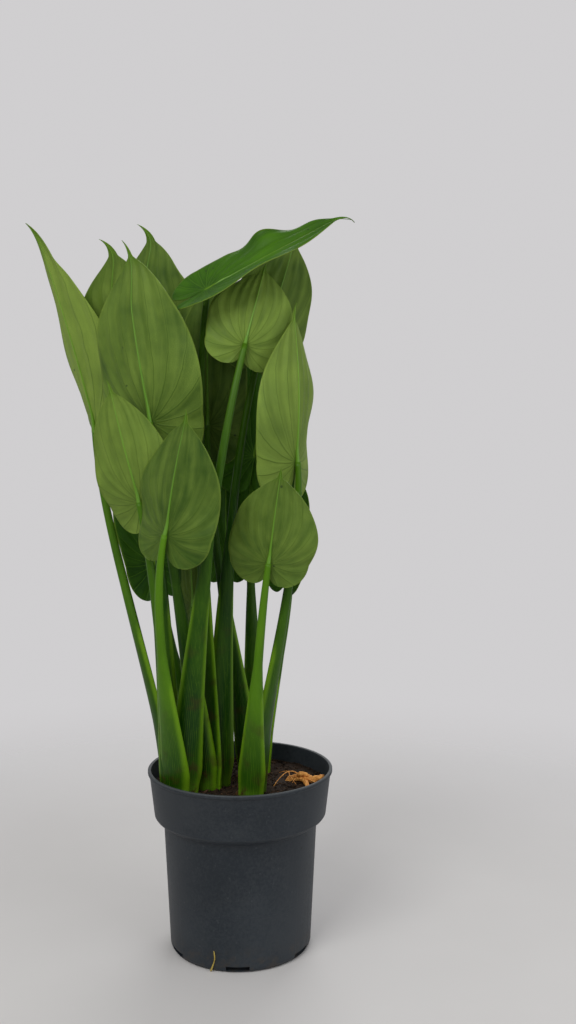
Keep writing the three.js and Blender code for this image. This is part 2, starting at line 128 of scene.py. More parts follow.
# Stalks and the short stems that they grow from, in millimetres or shares
STALK_TOP_RADIUS = 4
STALK_RADIUS = 7
STALK_FOOT = 4
FOOT_SPREAD = 0.4
LIFT_LEAN = 0.14
LIFT_UP = 0.12
APPROACH = 0.3
SHEATH_THICKNESS = 17
SHEATH_SHARE = 0.58
SHEATH_HOLLOW = 1.3
STEM_RADIUS = 23
STEM_MARK = -0.2
STEM_DOME = 12
STALK_SIDES = 32
STALK_STEPS = 64
FOOT_ROWS = 3
FOOT_DEPTH = 16
FOOT_WIDTH = 0.7
FOOT_REACH = 45
FOOT_SWELL = 6
FOOT_SWELL_END = 0.22
STALK_CLEAR = 0.8
STEM_SIDES = 40
STEM_ROWS = 20
STEM_INSET = 3
STEM_SINK = 20
STEM_RISE = 15
STEM_SHOULDER = 0.4
STEM_ROUGH = 0.06

# Raised midribs, radii in millimetres
KEEL_POINTS = 13
KEEL_SIDES = 14
KEEL_STEPS = 70
KEEL_START = (0.965, 0.985)
KEEL_END = 0.97
RIB_TIP_RADIUS = 0.3
RIB_TAPER = 1.5
RIB_SWELL = STALK_TOP_RADIUS - 1.6
RIB_SWELL_PACE = 7

# Where each shoot stands, in millimetres
SHOOTS = {
    "left": (-88, -44),
    "middle": (-42, -16),
    "right": (13, -48),
    "back_left": (-62, 60),
    "back_right": (20, 50),
}

# One row for each leaf: name, shoot, joint, tip, the way the upper side faces, flat width, curl
# across, bow along, twist, nod between stalk and blade, width of the sheath, width of the drip
# tip as a share of the blade's, and the tones of the blade and of its stalk, from 0, deep green,
# to 1, pale and yellowish
LEAF_COLUMNS = ["name", "shoot", "joint", "tip", "faces", "width", "curl", "bow", "twist", "nod",
                "sheath", "drip", "tone", "stalk_tone"]
LEAVES = [
    ("far_left", "left", (-212, 36, 752), (-302, -6, 1047), (0.82, 0.58, 0.1),
     165, 75, 6, 0, 10, 42, 0.3, 0.92, 0.45),
    ("left_low", "left", (-134, -76, 655), (-176, -88, 821), (0.3, 0.95, 0),
     116, 50, -12, 8, 10, 38, 0.15, 0.7, 0.35),
    ("left_high", "left", (-150, 8, 830), (-196, -20, 1022), (0.35, 1, 0),
     140, 60, -16, 10, 10, 38, 0.2, 0.5, 0.2),
    ("front_low", "left", (-91, -136, 615), (-63, -148, 780), (0.5, 0.87, 0),
     140, 75, -14, 0, 10, 58, 0.15, 0.3, 0.8),
    ("back_left_low", "back_left", (-134, 88, 552), (-172, 104, 768), (0.3, -1, 0),
     108, 48, -14, 8, 10, 38, 0.15, 0.15, 0.2),
    ("centre_left", "middle", (-119, -64, 765), (-156, -70, 1011), (0.36, 0.93, 0),
     166, 55, -18, -6, 10, 50, 0.12, 0.4, 0.15),
    ("middle_left", "back_left", (-118, 66, 848), (-154, 66, 1060), (0.3, 1, 0),
     148, 60, -16, 0, 10, 42, 0.2, 0.35, 0.1),
    ("middle", "back_right", (-48, 36, 762), (-46, 40, 990), (0.2, 1, 0),
     118, 50, -16, 10, 10, 42, 0.15, 0.28, 0.1),
    ("arching", "middle", (-42, -52, 948), (162, -44, 1040), (-0.2, -0.52, 0.83),
     106, 50, 2, 0, 55, 42, 0.2, 0.5, 0.1),
    # centre_right's tone is paler than its own colour, as painted light against the shade that the
    # arching leaf casts on it
    ("centre_right", "left", (11, -72, 870), (40, -46, 986), (-0.1, 1, 0),
     125, 50, -16, -8, 10, 54, 0.15, 0.68, 0.15),
    ("right_high", "right", (81, -48, 710), (82, -60, 928), (-0.84, 0.54, 0),
     152, 75, -16, 0, 10, 56, 0.15, 0.8, 0.3),
    ("right_low", "right", (44, -104, 574), (61, -116, 703), (0.1, 1, 0),
     125, 55, -14, -6, 10, 46, 0.15, 0.42, 0.7),
    ("back_right_high", "middle", (32, 24, 878), (85, 18, 1040), (-0.3, 0.95, 0),
     128, 60, -16, 0, 10, 52, 0.15, 0.4, 0.05),
    ("back_right", "back_right", (18, 112, 716), (46, 128, 956), (-0.2, -1, 0),
     142, 50, -16, 8, 10, 46, 0.15, 0.35, 0.2),
    ("back_right_low", "back_right", (72, 66, 548), (88, 74, 706), (-0.8, -0.7, 0),
     98, 50, -14, 0, 10, 38, 0.15, 0.3, 0.3),
    ("back_middle", "back_left", (-110, 122, 812), (-130, 136, 1022), (0.1, -1, 0),
     146, 50, -16, -8, 10, 46, 0.15, 0.45, 0.3),
    ("back_middle_low", "back_left", (-28, 130, 566), (-28, 148, 760), (0, -1, 0),
     98, 45, -12, 8, 10, 40, 0.15, 0.3, 0.3),
    ("young", "back_left", (-70, 24, 495), (-76, 24, 605), (0.2, 1, 0),
     50, 120, -6, 0, 10, 30, 0.15, 0.4, 0.5),
]

# Roots on the soil, in millimetres, with heights from the soil's top
THICK_ROOTS = [
    {"radii": (4, 5.4, 6.6, 5.2, 4.2),
     "route": [(60, 14, -12), (75, 17, -1), (91, 9, 5), (106, -3, 6), (121, -13, 12)]},
    {"radii": (4.2, 3.6, 3, 1.8), "route": [(89, 10, 5), (94, -3, 4), (98, -18, 3), (100, -34, -6)]},
    {"radii": (3, 3.4, 2.6, 1.4), "route": [(84, 12, 5), (88, 3, 12), (97, 0, 12), (103, 2, 5)]},
    {"radii": (2.6, 2.4, 2, 1.2), "route": [(108, -5, 6), (114, -1, 6), (119, 6, 6), (121, 15, 3)]},
]
ROOT_LUMP_PACE = 260
LONG_WISP = [(86, 12, 9), (77, 10, 14), (67, 4, 14), (57, -9, 9), (49, -19, 1)]
LONG_WISP_RADII = (0.9, 0.5)

# Short wisps start along a line on the thick root, within the spread, and bend once
WISPS = {"count": 10, "from": (72, 16), "to": (116, -12), "spread": 8, "above": 5, "short": 8,
         "long": 34, "bend": 0.8, "rise": 0.2, "fall": -0.3, "end_x": 122, "radii": (0.75, 0.3)}

# The thin root at the pot's foot
DRAIN_ROOT = [(-37.5, -97.3, 1.5), (-34.5, -99.4, 10), (-32, -100.6, 20), (-33, -100.9, 31)]
DRAIN_ROOT_RADII = (1.2, 0.6)

# Camera and light
CAMERA_PLACE = (0.070, -1.537, 0.736)
CAMERA_TILT = -3.71
CAMERA_LENS = 37.4
CAMERA_SENSOR = 36
FLOOR_RADIUS = 3
FADE_START = 0.35
FADE_END = 1.6
BACKDROP_SEEN = 1
BACKDROP_LIGHT = 0.6
LIGHT_AIM = (-0.03, 0, 0.55)
LIGHTS = [
    ("key", (-0.9, -1.6, 2.1), 1.2, 26, (1, 0.99, 0.97)),
    ("fill", (1.6, -1.2, 1.3), 1.6, 12, (0.97, 0.98, 1)),
    ("back", (0.4, 1.8, 1.9), 1.4, 16, (1, 1, 1)),
]

# Colours, linear
LEAF_SPOT = (0.02, 0.045, 0.01, 1)
STALK_DEEP = (0.007, 0.044, 0.0008, 1)
STALK_FRESH = (0.1, 0.25, 0.004, 1)
STALK_TOP = (0.085, 0.21, 0.006, 1)
STALK_PALE = (0.12, 0.25, 0.012, 1)
STALK_SCAR = (0.05, 0.026, 0.009, 1)
# Painted highlight along the edges of the sheaths
STALK_EDGE_HIGHLIGHT = (0.16, 0.33, 0.008, 1)
RIB_THICK = (0.105, 0.26, 0.006, 1)
RIB_DEEP = (0.06, 0.18, 0.004, 1)
RIB_PALE = (0.2, 0.39, 0.025, 1)
POT_DARK = (0.01, 0.0155, 0.022, 1)
POT_BLUE = (0.018, 0.026, 0.035, 1)
POT_DUST = (0.085, 0.092, 0.096, 1)
# Rubbed plastic, also laid along the rim's top as a painted highlight
POT_RUB_AND_HIGHLIGHT = (0.065, 0.074, 0.08, 1)
POT_SPECK = (0.006, 0.007, 0.008, 1)
POT_MUD = (0.06, 0.046, 0.032, 1)
SOIL_DARK = (0.009, 0.005, 0.003, 1)
SOIL_LIGHT = (0.042, 0.023, 0.012, 1)
BARK_DARK = (0.035, 0.017, 0.008, 1)
BARK_LIGHT = (0.11, 0.06, 0.03, 1)
ROOT_DARK = (0.5, 0.18, 0.03, 1)
ROOT_LIGHT = (0.92, 0.45, 0.11, 1)
THIN_ROOT_DARK = (0.35, 0.25, 0.04, 1)
THIN_ROOT_LIGHT = (0.52, 0.4, 0.09, 1)
FLOOR_DARK = (0.63, 0.62, 0.61, 1)
FLOOR_LIGHT = (0.7, 0.69, 0.68, 1)
BACKDROP = (0.63, 0.62, 0.63, 1)

# The two sides of a blade: colours, how much each shows, roughness, relief and gloss
UPPER_LOOK = {
    "deep": (0.008, 0.05, 0.001, 1), "fresh": (0.075, 0.215, 0.002, 1),
    "tip": (0.08, 0.21, 0.003, 1), "net": (0.06, 0.17, 0.006, 1),
    "halo": (0.008, 0.045, 0.001, 1), "halo_tint": 0.35,
    "vein": (0.085, 0.22, 0.01, 1), "rib": (0.15, 0.3, 0.015, 1), "rib_tint": 0.8,
    "edge": (0.16, 0.25, 0.015, 1), "smooth": 0.4, "rough": 0.55, "relief": -1,
    "net_relief": -0.25, "sheen": 0.16,
}
UNDER_LOOK = {
    "deep": (0.02, 0.066, 0.002, 1), "fresh": (0.24, 0.36, 0.055, 1),
    "tip": (0.12, 0.27, 0.008, 1), "net": (0.05, 0.12, 0.006, 1),
    "halo": (0.17, 0.27, 0.03, 1), "halo_tint": 0.2,
    "vein": (0.03, 0.085, 0.004, 1), "rib": (0.17, 0.33, 0.03, 1), "rib_tint": 0.6,
    "edge": (0.19, 0.29, 0.035, 1), "smooth": 0.45, "rough": 0.62, "relief": 1,
    "net_relief": 0.35, "sheen": 0.2,
}


# Shader nodes
def node(tree, kind, inputs=(), **settings):
    """Adds a node, with its inputs by place or name, as values or links, and its settings."""
    made = tree.nodes.new("ShaderNode" + kind)
    for name, value in settings.items():
        setattr(made, name, value)
    pairs = inputs.items() if isinstance(inputs, dict) else enumerate(inputs)
    for key, value in pairs:
        if isinstance(value, bpy.types.NodeSocket):
            tree.links.new(value, made.inputs[key])
        else:
            made.inputs[key].default_value = value
    return made


def calc(tree, operation, *inputs):
    return node(tree, "Math", inputs, operation=operation).outputs[0]


def times(tree, first, second):
    return calc(tree, "MULTIPLY", first, second)


def vary(tree, value, pattern, amount):
    """Moves a value up and down with a pattern from 0 to 1."""
    return calc(tree, "MULTIPLY_ADD", calc(tree, "SUBTRACT", pattern, 0.5), amount, value)


def remap(tree, value, low, high, to_low=0, to_high=1):
    """Maps low to high onto to_low to to_high with soft ends, and holds what lies beyond."""
    inputs = (value, low, high, to_low, to_high)
    return node(tree, "MapRange", inputs, interpolation_type="SMOOTHSTEP").outputs[0]


def pair(tree, x, y):
    """A vector of two values."""
    return node(tree, "CombineXYZ", [x, y]).outputs[0]


def split(tree, vector):
    """The three values of a vector."""
    return node(tree, "SeparateXYZ", [vector]).outputs


def length_of(tree, vector):
    return node(tree, "VectorMath", [vector], operation="LENGTH").outputs["Value"]


def stretch(tree, where, scale):
    inputs = {"Vector": where, "Scale": scale}
    return node(tree, "Mapping", inputs).outputs[0]


def speckle(tree, where, scale, detail=2, roughness=0.5):
    inputs = {"Vector": where, "Scale": scale, "Detail": detail, "Roughness": roughness}
    return node(tree, "TexNoise", inputs).outputs["Fac"]


def from_dots(tree, where, scale):
    """The distance from the nearest of many scattered dots."""
    return node(tree, "TexVoronoi", {"Vector": where, "Scale": scale}).outputs[0]


def layer(tree, name):
    """The value that the mesh carries under this name."""
    return node(tree, "Attribute", attribute_name=name).outputs["Fac"]


def flat_map(tree):
    """The place in the piece's flat pattern."""
    return node(tree, "UVMap", uv_map="flat").outputs[0]


def mix(tree, share, first, second):
    inputs = {0: share, 6: first, 7: second}
    return node(tree, "Mix", inputs, data_type="RGBA").outputs[2]


def paint(tree, colour, *coats):
    """Lays colours over a colour, each with its own share."""
    for share, over in coats:
        colour = mix(tree, share, colour, over)
    return colour


def bumps(tree, *layers):
    """The normal of bumps laid over each other, each with its height, strength and depth."""
    normal = None
    for height, strength, depth in layers:
        inputs = {"Strength": strength, "Distance": depth, "Height": height}
        if normal is not None:
            inputs["Normal"] = normal
        normal = node(tree, "Bump", inputs).outputs[0]
    return normal


def new_group(name, inputs):
    """The tree of a node group, and the sockets that bring its inputs in."""
    tree = bpy.data.node_groups.new(name, "ShaderNodeTree")
    for label, kind, value in inputs:
        socket = tree.interface.new_socket(label, in_out="INPUT", socket_type="NodeSocket" + kind)
        if value is not None:
            socket.default_value = value
    return tree, tree.nodes.new("NodeGroupInput").outputs


def finish_group(tree, outputs):
    """Gives a node group its outputs, by name."""
    for label in outputs:
        tree.interface.new_socket(label, in_out="OUTPUT", socket_type="NodeSocketFloat")
    end = tree.nodes.new("NodeGroupOutput")
    for label, value in outputs.items():
        tree.links.new(value, end.inputs[label])
    return tree


def use_group(tree, group, inputs):
    return node(tree, "Group", inputs, node_tree=group).outputs


def make_vein_group():
    """Veins that leave the joint in all directions and meet again at the tip, on arcs through
    both points. Flat holds the place on the flat blade: across in x and along in y, in blade
    lengths, with the joint at 0 and the tip at 1."""
    tree, given = new_group("leaf veins", [
        ("Flat", "Vector", None), ("Place", "Vector", None), ("Spacing", "Float", VEIN_SPACING),
        ("Vein Width", "Float", 0.0036), ("Rib Width", "Float", 0.009)])
    vein_end_width = 0.0008
    rib_end_width = 0.0015
    flat = split(tree, given["Flat"])
    across = calc(tree, "ABSOLUTE", flat[0])
    ahead = flat[1]
    behind = calc(tree, "SUBTRACT", 1, ahead)
    to_joint = length_of(tree, pair(tree, across, ahead))
    to_tip = length_of(tree, pair(tree, across, behind))
    turn = calc(tree, "ADD", calc(tree, "ARCTAN2", across, ahead),
                calc(tree, "ARCTAN2", across, behind))

    wobble = calc(tree, "MULTIPLY_ADD", speckle(tree, given["Place"], 22), 0.16, -0.08)
    bent = calc(tree, "ABSOLUTE", calc(tree, "ADD", turn, wobble))
    half_spacing = times(tree, given["Spacing"], 0.5)
    spread = times(tree, to_joint, to_tip)
    beside = times(tree, calc(tree, "PINGPONG", bent, half_spacing), spread)
    vein_width = calc(tree, "MULTIPLY_ADD", to_tip, given["Vein Width"], vein_end_width)
    off_vein = calc(tree, "DIVIDE", beside, vein_width)

    rib_width = calc(tree, "MULTIPLY_ADD", behind, given["Rib Width"], rib_end_width)
    off_rib = calc(tree, "DIVIDE", across, rib_width)
    rib = times(tree, remap(tree, off_rib, 0.5, 1, 1, 0), remap(tree, ahead, -0.02, 0))

    ring = calc(tree, "LOGARITHM", calc(tree, "DIVIDE", to_joint, to_tip), math.e)
    cells = pair(tree, turn, ring)
    from_net = node(tree, "TexVoronoi", {"Vector": cells, "Scale": 26},
                    voronoi_dimensions="2D", feature="DISTANCE_TO_EDGE").outputs[0]
    shifted = node(tree, "VectorMath", [
        stretch(tree, cells, (4.5, 0.6, 1)),
        stretch(tree, given["Place"], (6, 6, 6))], operation="ADD").outputs[0]
    return finish_group(tree, {
        "Rib": rib,
        "Veins": remap(tree, off_vein, 0.25, 1, 1, 0),
        "Net": remap(tree, from_net, 0.02, 0.14, 1, 0),
        "Halo": remap(tree, off_vein, 0.3, 4, 1, 0),
        "Panels": speckle(tree, shifted, 1),
    })


def make_dust_group():
    """Dust that lies unevenly, with dried drops in it, and fine rubbed scratches."""
    tree, given = new_group("dust and rub", [
        ("Place", "Vector", None), ("Scale", "Float", 9), ("Amount", "Float", 0.5)])
    place = given["Place"]
    scale = given["Scale"]
    cloud = speckle(tree, place, scale, 6, 0.6)
    fine = speckle(tree, place, times(tree, scale, 30), 3, 0.7)
    both = calc(tree, "MULTIPLY_ADD", fine, 0.45, times(tree, cloud, 0.55))
    from_drops = from_dots(tree, place, times(tree, scale, 9))
    streaks = speckle(tree, stretch(tree, place, (900, 900, 60)), 1)
    return finish_group(tree, {
        "Dust": times(tree, remap(tree, both, 0.38, 0.66), given["Amount"]),
        "Drops": remap(tree, from_drops, 0.05, 0.13, 1, 0),
        "Scratches": remap(tree, streaks, 0.66, 0.76),
    })


def make_fibre_group():
    """Fine fibres along a stalk or a root. Around holds the way round in x and along in y."""
    tree, given = new_group("fibres", [
        ("Around", "Vector", None), ("Place", "Vector", None), ("Count", "Float", 46)])
    place = given["Place"]
    turns = times(tree, split(tree, given["Around"])[0], given["Count"])
    wave = calc(tree, "SINE", times(tree, turns, math.tau))
    lines = calc(tree, "MULTIPLY_ADD", wave, 0.5, 0.5)
    rough = speckle(tree, stretch(tree, place, (420, 420, 14)), 1, 3)
    from_specks = from_dots(tree, stretch(tree, place, (240, 240, 80)), 1)
    return finish_group(tree, {
        "Fibres": calc(tree, "MULTIPLY_ADD", lines, 0.4, times(tree, rough, 0.6)),
        "Patches": speckle(tree, stretch(tree, place, (30, 30, 7)), 1, 3),
        "Specks": remap(tree, from_specks, 0.06, 0.2, 1, 0),
    })


vein_group = make_vein_group()
dust_group = make_dust_group()
fibre_group = make_fibre_group()


def new_material(name):
    """A material, its node tree and the place on the object that patterns read."""
    made = bpy.data.materials.new(name)
    made.use_nodes = True
    tree = made.node_tree
    return made, tree, node(tree, "TexCoord").outputs["Object"]


def finish_shader(made, colour, roughness, normal, sheen=0.5, wax=0, wax_rough=0.03):
    """Links what varies, and sets the reflection and the thin coat, the same all over."""
    tree = made.node_tree
    shader = tree.nodes["Principled BSDF"]
    tree.links.new(colour, shader.inputs["Base Color"])
    tree.links.new(roughness, shader.inputs["Roughness"])
    tree.links.new(normal, shader.inputs["Normal"])
    shader.inputs["Specular IOR Level"].default_value = sheen
    shader.inputs["Coat Weight"].default_value = wax
    shader.inputs["Coat Roughness"].default_value = wax_rough
    return made


def leaf_material(name, look):
    """One side of a blade: its colours, how its veins stand out, and its gloss."""
    made, tree, place = new_material(name)
    flat = flat_map(tree)
    along = split(tree, flat)[1]
    veins = use_group(tree, vein_group, {"Flat": flat, "Place": place})
    patches = speckle(tree, place, 14)
    blotches = remap(tree, speckle(tree, place, 38, 4, 0.6), 0.3, 0.7)
    tone = vary(tree, layer(tree, "tone"), patches, 0.6)
    tone = vary(tree, tone, veins["Panels"], 0.8)
    tone = vary(tree, tone, blotches, 0.14)
    colour = paint(
        tree, mix(tree, tone, look["deep"], look["fresh"]),
        (remap(tree, along, 0.82, 0.95, 0, 0.7), look["tip"]),
        (times(tree, veins["Net"], 0.3), look["net"]),
        (times(tree, veins["Halo"], look["halo_tint"]), look["halo"]),
        (times(tree, veins["Veins"], 0.5), look["vein"]),
        (times(tree, veins["Rib"], look["rib_tint"]), look["rib"]),
        (remap(tree, layer(tree, "margin"), 0.955, 1, 0, 0.6), look["edge"]),
        (remap(tree, from_dots(tree, place, 26), 0.035, 0.06, 0.75, 0), LEAF_SPOT))
    roughness = remap(tree, blotches, 0, 1, look["smooth"], look["rough"])
    raised = calc(tree, "ADD", veins["Rib"], times(tree, veins["Veins"], 0.6))
    raised = times(tree, raised, look["relief"])
    raised = calc(tree, "MULTIPLY_ADD", veins["Net"], look["net_relief"], raised)
    normal = bumps(tree, (raised, 0.7, 0.0009), (speckle(tree, place, 900), 0.12, 0.0003))
    return finish_shader(made, colour, roughness, normal, look["sheen"], 0.02, 0.3)


def stalk_material():
    """Smooth stalks, darker lower down with painted shade, paler and scarred near the soil, and with
    a painted highlight along the edges of their sheaths.
    """
    made, tree, place = new_material("stalk_skin")
    around = flat_map(tree)
    along = split(tree, around)[1]
    fibre = use_group(tree, fibre_group, {"Around": around, "Place": place})
    low = remap(tree, along, 0.5, 0.2)
    rough = remap(tree, speckle(tree, place, 60, 4, 0.7), 0.5, 0.66)
    scars = times(tree, remap(tree, along, 0.16, 0), rough)
    stains = remap(tree, speckle(tree, place, 34), 0.56, 0.74, 0, 0.45)
    # Painted shade: the stalks' tone darkens from just over halfway up down to near their feet, low
    # among the sheaths under the leaves
    bright = times(tree, layer(tree, "tone"), remap(tree, along, 0.1, 0.55, 0.15, 1))
    tone = vary(tree, bright, fibre["Patches"], 0.9)
    colour = paint(
        tree, mix(tree, tone, STALK_DEEP, STALK_FRESH),
        (remap(tree, along, 0.55, 1, 0, 0.5), STALK_TOP),
        (remap(tree, fibre["Fibres"], 0.55, 0.8, 0, 0.35), STALK_PALE),
        (remap(tree, along, 0.06, 0, 0, 0.4), STALK_PALE),
        (scars, STALK_SCAR),
        (times(tree, fibre["Specks"], 0.2), STALK_PALE),
        (remap(tree, along, STEM_MARK / 2, STEM_MARK), STALK_SCAR),
        # A painted highlight along the edges of the sheaths
        (remap(tree, layer(tree, "margin"), 0.6, 1, 0, 0.8), STALK_EDGE_HIGHLIGHT),
        (times(tree, stains, low), STALK_SCAR))
    roughness = remap(tree, fibre["Patches"], 0.3, 0.7, 0.32, 0.5)
    normal = bumps(tree, (fibre["Fibres"], 0.35, 0.0004),
                   (speckle(tree, place, 120, 3), 0.2, 0.0012))
    return finish_shader(made, colour, roughness, normal, 0.17, 0.03, 0.35)


def midrib_material():
    """The raised midrib and the swollen end of the stalk behind it."""
    made, tree, place = new_material("midrib_skin")
    around = flat_map(tree)
    fibre = use_group(tree, fibre_group, {"Around": around, "Place": place, "Count": 14})
    thin = mix(tree, layer(tree, "tone"), RIB_DEEP, RIB_PALE)
    colour = mix(tree, remap(tree, split(tree, around)[1], 0.05, 0.5), RIB_THICK, thin)
    colour = mix(tree, remap(tree, fibre["Patches"], 0.35, 0.7, 0, 0.3), colour, STALK_FRESH)
    roughness = remap(tree, fibre["Fibres"], 0.3, 0.7, 0.35, 0.5)
    normal = bumps(tree, (fibre["Fibres"], 0.3, 0.0003))
    return finish_shader(made, colour, roughness, normal)


def pot_material():
    """Thin moulded plastic with a fine grain, dust, dried drops, mud splashes, rubbed places, and a
    rim top that is paler partly from rubbing and partly from a painted highlight.
    """
    made, tree, place = new_material("pot_plastic_worn")
    wear = use_group(tree, dust_group, {"Place": place, "Scale": 8, "Amount": 0.28})
    height = split(tree, place)[2]
    cloud = remap(tree, speckle(tree, place, 5, 3), 0.3, 0.7)
    blots = remap(tree, speckle(tree, place, 70, 5, 0.7), 0.45, 0.65)
    splash = times(tree, remap(tree, height, 0.05, 0), blots)
    # The top of the rim is paler: partly rubbed wear, partly a painted highlight
    rim_rub_and_highlight = remap(tree, height, (POT_HEIGHT - 2.5) * MM, (POT_HEIGHT - 0.5) * MM, 0, 0.7)
    colour = paint(
        tree, mix(tree, cloud, POT_DARK, POT_BLUE),
        (wear["Dust"], POT_DUST),
        (times(tree, wear["Drops"], 0.22), POT_DUST),
        (times(tree, wear["Scratches"], 0.35), POT_RUB_AND_HIGHLIGHT),
        (times(tree, splash, 0.5), POT_MUD),
        (remap(tree, from_dots(tree, place, 32), 0.04, 0.07, 0.8, 0), POT_SPECK),
        (rim_rub_and_highlight, POT_RUB_AND_HIGHLIGHT))
    roughness = remap(tree, wear["Dust"], 0, 0.5, 0.5, 0.78)
    off_seam = calc(tree, "ABSOLUTE", calc(tree, "SUBTRACT", height, POT_SEAM * MM))
    normal = bumps(
        tree,
        (speckle(tree, place, 1400), 0.25, 0.0002),
        (wear["Scratches"], 0.15, 0.0002),
        (speckle(tree, place, 12), 0.12, 0.004),
        (remap(tree, off_seam, 0, MM, 1, 0), 0.4, 0.0004))
    return finish_shader(made, colour, roughness, normal, 0.35)


def soil_material(name, dark, light):
    """Damp, crumbly stuff in two tones."""
    made, tree, place = new_material(name)
    lumps = speckle(tree, place, 160, 6, 0.7)
    colour = mix(tree, remap(tree, lumps, 0.35, 0.65), dark, light)
    damp = remap(tree, speckle(tree, place, 14, 3), 0.35, 0.65)
    roughness = remap(tree, damp, 0, 1, 0.72, 0.98)
    normal = bumps(tree, (lumps, 0.8, 0.002), (speckle(tree, place, 700, 4, 0.7), 0.6, 0.0007))
    return finish_shader(made, colour, roughness, normal, 0.2)


def root_material(name, dark, light):
    """Rough root skin in two tones, with pale fibres."""
    made, tree, place = new_material(name)
    fibre = use_group(tree, fibre_group, {"Around": flat_map(tree), "Place": place, "Count": 9})
    lumps = speckle(tree, place, 220, 5, 0.65)
    colour = mix(tree, remap(tree, lumps, 0.35, 0.65), dark, light)
    colour = mix(tree, remap(tree, fibre["Fibres"], 0.5, 0.8, 0, 0.4), colour, light)
    roughness = remap(tree, lumps, 0.3, 0.7, 0.6, 0.9)
    normal = bumps(tree, (lumps, 0.6, 0.0012))
    return finish_shader(made, colour, roughness, normal)


upper_side = leaf_material("leaf_upper_side", UPPER_LOOK)
under_side = leaf_material("leaf_under_side", UNDER_LOOK)
stalk_skin = stalk_material()
midrib_skin = midrib_material()
pot_plastic = pot_material()
soil_mix = soil_material("soil_mix", SOIL_DARK, SOIL_LIGHT)
bark = soil_material("bark_chips", BARK_DARK, BARK_LIGHT)
root_skin = root_material("root_skin", ROOT_DARK, ROOT_LIGHT)
thin_root_skin = root_material("thin_root_skin", THIN_ROOT_DARK, THIN_ROOT_LIGHT)


# Mesh helpers
def new_mesh():
    """An empty mesh with a map for its flat pattern, a layer that is 1 at thin edges, and one for
    the tone of its green."""
    bm = bmesh.new()
    bm.loops.layers.uv.new("flat")
    bm.verts.layers.float.new("margin")
    bm.verts.layers.float.new("tone")
    return bm


def mapped_grid(bm, columns, rows, place, flat=None, rim=None, turn_over=False):
    """A grid whose corners are moved to place(u, v), with u and v from 0 to 1.

    flat gives the place in the flat pattern, and rim how near a thin edge the corner is.
    Returns its vertices."""
    uv = bm.loops.layers.uv["flat"]
    margin = bm.verts.layers.float["margin"]
    verts = bmesh.ops.create_grid(bm, x_segments=columns, y_segments=rows, size=1)["verts"]
    spots = {vert: ((vert.co.x + 1) / 2, (vert.co.y + 1) / 2) for vert in verts}
    faces = {face for vert in verts for face in vert.link_faces}
    for face in faces:
        for loop in face.loops:
            u, v = spots[loop.vert]
            loop[uv].uv = flat(u, v) if flat else (u, v)
    for vert, (u, v) in spots.items():
        vert.co = place(u, v)
        vert[margin] = rim(u, v) if rim else 0.0
    if turn_over:
        bmesh.ops.reverse_faces(bm, faces=list(faces))
    return verts


def set_tone(bm, verts, value):
    tone = bm.verts.layers.float["tone"]
    for vert in verts:
        vert[tone] = value


def merge(bm):
    bmesh.ops.remove_doubles(bm, verts=bm.verts, dist=SAME_PLACE)


def link_object(name, data):
    """Puts an object with this data into the scene."""
    made = bpy.data.objects.new(name, data)
    bpy.context.scene.collection.objects.link(made)
    return made


def new_object(name, bm, materials=()):
    """Turns a finished mesh into an object at the origin."""
    mesh = bpy.data.meshes.new(name)
    bm.to_mesh(mesh)
    bm.free()
    for material in materials:
        mesh.materials.append(material)
    return link_object(name, mesh)


def piece(name, bm, materials, nodes):
    """Makes the mesh a piece of the plant, which stands for these nodes of the solids."""
    made = new_object(name, bm, materials)
    made.data.shade_smooth()
    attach(made, "root")
    if nodes:
        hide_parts(*nodes)
    return made


def polar(radius, turn):
    """The place at this distance from a point, this far round it."""
    return radius * math.cos(turn), radius * math.sin(turn)


def on_pole(v, rows):
    """Whether v is the first or the last row of a grid, which closes to a point."""
    return v * rows < 0.5 or v * rows > rows - 0.5


def smooth_route(points, share):
    """A point on a smooth line through the points."""
    at = min(share, NEAR_END) * (len(points) - 1)
    step = int(at)
    part = at - step
    before = points[max(0, step - 1)]
    first = points[step]
    second = points[step + 1]
    after = points[min(len(points) - 1, step + 2)]
    return 0.5 * (2 * first + (second - before) * part
                  + (2 * before - 5 * first + 4 * second - after) * part ** 2
                  + (3 * first - before - 3 * second + after) * part ** 3)


def add_tube(bm, route, radius_at, sides, steps, lumps=0.0, material=0):
    """A closed round tube along a line of points, with rounded ends."""
    points = [Vector(point) * MM for point in route]
    near = 1e-3
    never_along = Vector((0.3, 0.2, 1))

    def place(u, v):
        share = min(1.0, max(0.0, (v * steps - 1) / (steps - 2)))
        here = smooth_route(points, share)
        ahead = smooth_route(points, min(1, share + near))
        run = ahead - smooth_route(points, max(0, share - near))
        side = never_along.cross(run).normalized()
        over = run.cross(side).normalized()
        radius = 0 if on_pole(v, steps) else radius_at(share) * MM
        turn = u * math.tau
        out = side * math.cos(turn) + over * math.sin(turn)
        spot = here + out * radius
        return spot + out * (lumps * radius * noise.noise(spot * ROOT_LUMP_PACE))

    verts = mapped_grid(bm, sides, steps, place)
    for face in {face for vert in verts for face in vert.link_faces}:
        face.material_index = material


